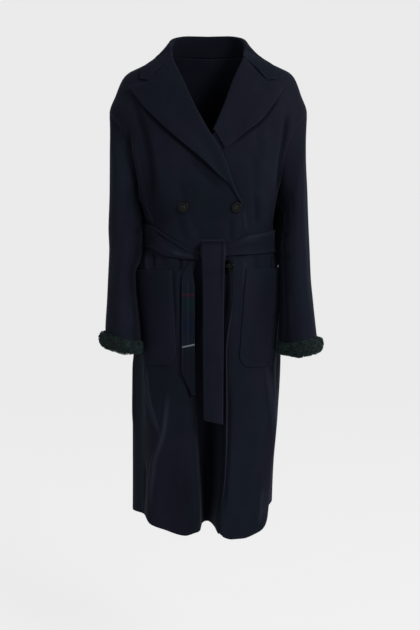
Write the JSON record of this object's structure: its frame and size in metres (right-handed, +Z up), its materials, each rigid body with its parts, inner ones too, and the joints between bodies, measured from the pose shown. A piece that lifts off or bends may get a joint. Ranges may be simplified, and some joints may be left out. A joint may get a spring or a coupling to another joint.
{
  "type": "wool coat",
  "caption": "Long belted wrap coat of dark navy double-faced wool in its worn, hollow form, with wide notched lapels, patch pockets, a knotted self belt and curly fur cuffs.",
  "frame": {"origin": "between the wearer's shoulders, at the height of the neck point, where the wearer holds the coat up", "axes": "+Z up along the coat's length, -Y out of its front, +X towards the wearer's left"},
  "size_m": [0.5387, 0.3463, 1.2365],
  "materials": {
    "wool": "matte felted double-faced wool",
    "belt_reverse": "matte wool with a dark check on its reverse",
    "fur": "curly shearling fur",
    "button": "polished dark horn-like resin"
  },
  "bodies": {
    "root": {"back": "wool", "front_right": "wool", "front_left": "wool", "lapel_right": "wool", "lapel_left": "wool", "collar": "wool", "sleeve_right": "wool", "sleeve_left": "wool", "cuff_right": "fur", "cuff_left": "fur", "pocket_right": "wool", "pocket_left": "wool", "belt_band": "wool", "belt_knot": "wool", "belt_tail_front": "wool", "belt_tail_reverse": "belt_reverse", "button_upper_inner": "button", "button_upper_outer": "button", "button_lower": "button"}
  },
  "joints": []
}
